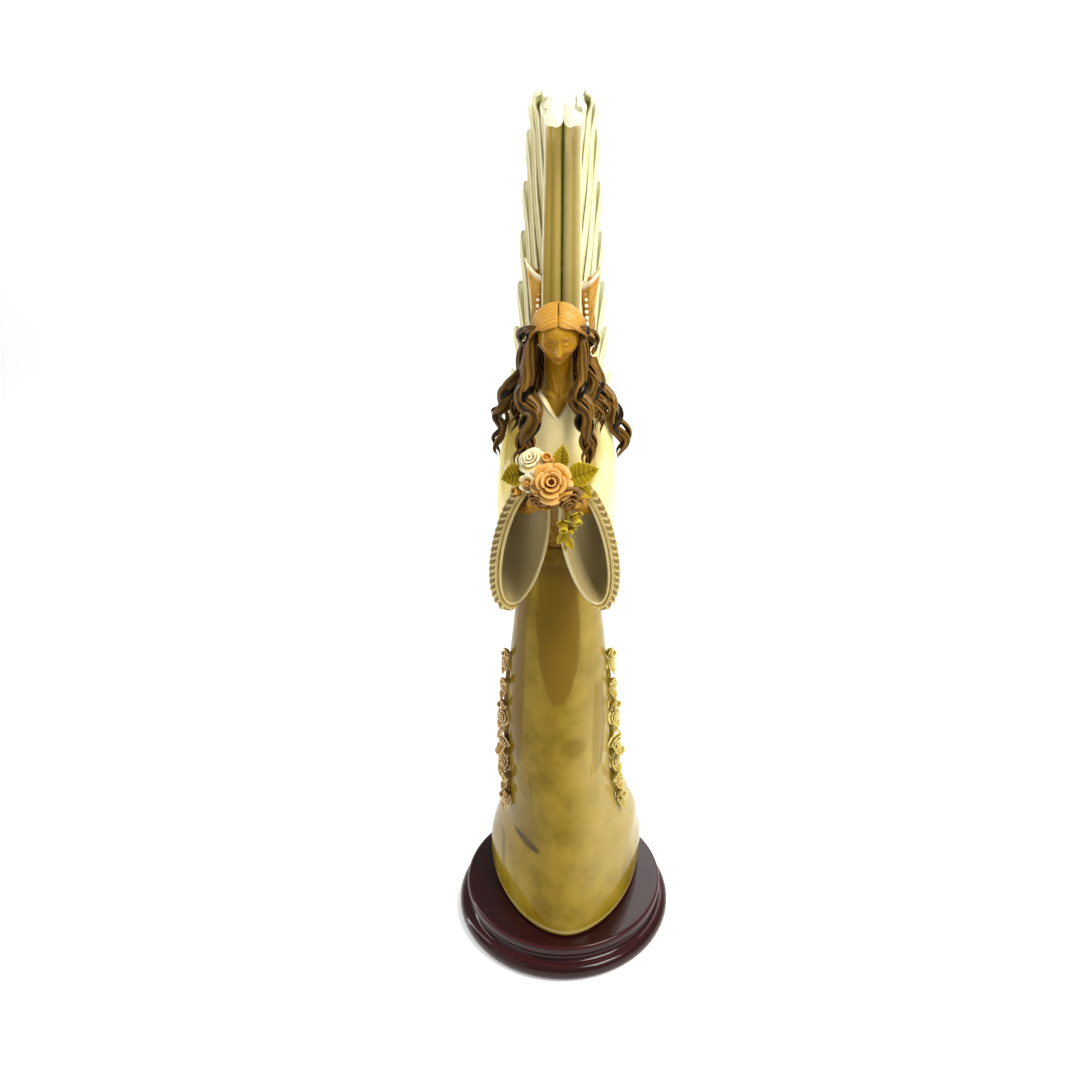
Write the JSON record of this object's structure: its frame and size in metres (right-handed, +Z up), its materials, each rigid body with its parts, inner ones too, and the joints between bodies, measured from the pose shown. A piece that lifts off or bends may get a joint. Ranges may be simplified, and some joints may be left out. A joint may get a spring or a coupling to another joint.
{
  "type": "angel figurine",
  "caption": "Standing robed angel figurine with tall raised wings, holding a bouquet before the chest, on a round turned wooden base.",
  "frame": {"origin": "centre of the flat felt underside of the base", "axes": "+Z up, the figure faces -Y, +X is the side of its left hand"},
  "size_m": [0.102, 0.1196, 0.3678],
  "materials": {
    "mahogany_lacquer": "glossy lacquer",
    "green_felt": "matt felt",
    "screw_steel": "zinc plated",
    "ochre_gown_glaze": "cast resin, painted and gloss glazed",
    "cream_lace_relief": "cast resin, painted relief",
    "ochre_skin_glaze": "cast resin, painted and gloss glazed",
    "chestnut_hair_paint": "cast resin, painted and gloss glazed",
    "ivory_feather_glaze": "cast resin, painted and gloss glazed",
    "peach_lily_paint": "cast resin, painted",
    "peach_rose_paint": "cast resin, painted",
    "cream_rose_paint": "cast resin, painted",
    "olive_leaf_paint": "cast resin, painted",
    "bronze_garland_paint": "cast resin, painted"
  },
  "bodies": {
    "root": {"base_plinth": "mahogany_lacquer", "felt_pad": "green_felt", "base_screw_front": "screw_steel", "base_screw_back": "screw_steel", "gown_skirt": "ochre_gown_glaze", "gown_bodice": "ochre_gown_glaze", "head": "ochre_skin_glaze", "wing_left": "ivory_feather_glaze", "wing_right": "ivory_feather_glaze", "hair_cap": "chestnut_hair_paint", "hair_back": "chestnut_hair_paint", "hair_lock_left": "chestnut_hair_paint", "hair_lock_right": "chestnut_hair_paint", "hair_curls_left": "chestnut_hair_paint", "hair_curls_right": "chestnut_hair_paint", "hair_flower_left": "cream_rose_paint", "hair_flower_right": "cream_rose_paint", "sleeve_left": "ochre_gown_glaze", "sleeve_right": "ochre_gown_glaze", "lace_trim_left": "cream_lace_relief", "lace_trim_right": "cream_lace_relief", "hand_left": "ochre_skin_glaze", "hand_right": "ochre_skin_glaze", "bouquet_core": "olive_leaf_paint", "bouquet_rose_centre": "peach_rose_paint", "bouquet_petal_low_left": "peach_rose_paint", "bouquet_petal_low_right": "peach_rose_paint", "bouquet_rose_cream": "cream_rose_paint", "bouquet_rosebud": "peach_rose_paint", "bouquet_blossom": "cream_rose_paint", "bouquet_bud_left": "peach_rose_paint", "bouquet_leaf_left": "olive_leaf_paint", "bouquet_leaf_right": "olive_leaf_paint", "bouquet_leaf_top": "olive_leaf_paint", "bouquet_leaf_low": "olive_leaf_paint", "bouquet_trailing_spray": "olive_leaf_paint", "lily_left": "peach_lily_paint", "lily_right": "peach_lily_paint", "garland_left": "bronze_garland_paint", "garland_right": "olive_leaf_paint"}
  },
  "joints": []
}
